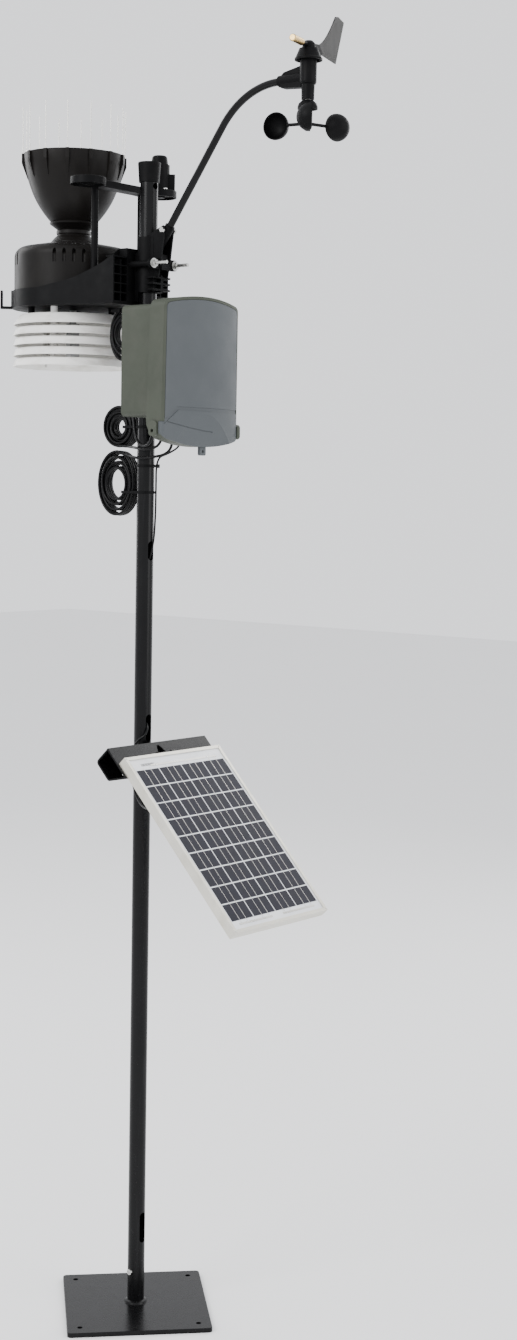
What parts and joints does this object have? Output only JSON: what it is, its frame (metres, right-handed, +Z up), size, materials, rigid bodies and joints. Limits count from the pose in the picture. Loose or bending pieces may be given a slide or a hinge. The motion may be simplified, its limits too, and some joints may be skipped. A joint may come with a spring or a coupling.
{
  "type": "pole-mounted weather station",
  "caption": "Automatic weather station on a steel pole: rain gauge with radiation shield, light sensor, wind vane and cups, logger box, tilted solar panel, square foot.",
  "frame": {"origin": "centre of the base plate's underside, on the mast's axis", "axes": "+Z up the mast; -Y is the front, where the logger box, solar panel and wind sensor are; +Y is the back, where the rain gauge hangs; +X is to the right seen from the front's opposite side"},
  "size_m": [0.3476, 0.6705, 2.21],
  "materials": {
    "black_steel": "black powder coat, satin",
    "black_plastic": "black ABS, fine grain",
    "brown_plastic": "weathered dark brown-black UV-stable plastic",
    "white_plastic": "off-white weathered plastic",
    "grey_plastic": "grey plastic",
    "olive_plastic": "olive grey-green plastic",
    "slate_plastic": "blue-grey plastic, fine texture",
    "zinc": "zinc plated, slightly dulled",
    "pale_steel": "bright stainless",
    "brass": "aged brass",
    "rubber_black": "black rubber",
    "board_green": "printed circuit board",
    "anodised": "warm silver anodised aluminium",
    "white_backsheet": "white backsheet under glass",
    "cell_blue": "dark blue polycrystalline cells under glass",
    "cable_black": "black PVC cable jacket"
  },
  "bodies": {
    "station": {"base_plate": "black_steel", "mast_tube": "black_steel", "mast_cap": "black_plastic", "earth_screw": "zinc", "gauge_base": "black_plastic", "rain_housing": "brown_plastic", "bucket_cradle": "white_plastic", "shield_cap": "white_plastic", "shield_plates": "white_plastic", "shield_rods": "zinc", "shield_spacers": "white_plastic", "climate_probe": "grey_plastic", "sensor_shelf": "black_plastic", "shelf_posts": "black_plastic", "solar_sensor": "black_plastic", "clamp_bolts": "zinc", "spacer_tubes": "black_plastic", "clamp_nuts": "zinc", "anemometer_base": "black_plastic", "arm_bolt": "zinc", "arm_tube": "black_steel", "head_body": "black_plastic", "head_bearings": "pale_steel", "box_body": "olive_plastic", "box_bracket": "black_steel", "box_u_bolts": "zinc", "lid_gasket": "rubber_black", "hinge_pins": "pale_steel", "logger_board": "board_green", "battery": "black_plastic", "cable_glands": "black_plastic", "panel_frame": "anodised", "panel_laminate": "white_backsheet", "panel_cells": "cell_blue", "junction_box": "black_plastic", "panel_bracket": "black_steel", "bracket_u_bolt": "zinc", "panel_screws": "zinc", "coil_a": "cable_black", "coil_b": "cable_black", "coil_c": "cable_black", "iss_lead": "cable_black", "sensor_lead": "cable_black", "wind_lead": "cable_black", "charge_lead": "cable_black", "panel_lead": "cable_black", "cable_ties": "black_plastic"},
    "lid": {"lid_frame": "olive_plastic", "lid_face": "slate_plastic", "lid_latch": "slate_plastic"},
    "vane": {"vane_shaft": "pale_steel", "vane_hub": "black_plastic", "vane_fin": "brown_plastic", "nose_weight": "brass"},
    "cups": {"rotor_shaft": "pale_steel", "cup_rotor": "black_plastic"},
    "bucket": {"tipping_bucket": "white_plastic"},
    "cone": {"rain_cone": "brown_plastic", "bird_spikes": "pale_steel", "debris_screen": "black_plastic"}
  },
  "joints": [
    {"name": "vane_yaw", "type": "hinge", "parent": "station", "child": "vane", "pos_m": [0, -0.335, 2.12], "axis": [0, 0, 1], "continuous": true},
    {"name": "cup_spin", "type": "hinge", "parent": "station", "child": "cups", "pos_m": [0, -0.335, 2.05], "axis": [0, 0, 1], "continuous": true},
    {"name": "lid_hinge", "type": "hinge", "parent": "station", "child": "lid", "pos_m": [0, -0.092, 1.756], "axis": [-1, 0, 0], "range_deg": [0, 100]},
    {"name": "bucket_tip", "type": "hinge", "parent": "station", "child": "bucket", "pos_m": [0, 0.177, 1.786], "axis": [0, -1, 0], "range_deg": [0, 36]},
    {"name": "cone_lift", "type": "slide", "parent": "station", "child": "cone", "axis": [0, 0, 1], "range_m": [0, 0.1]}
  ]
}
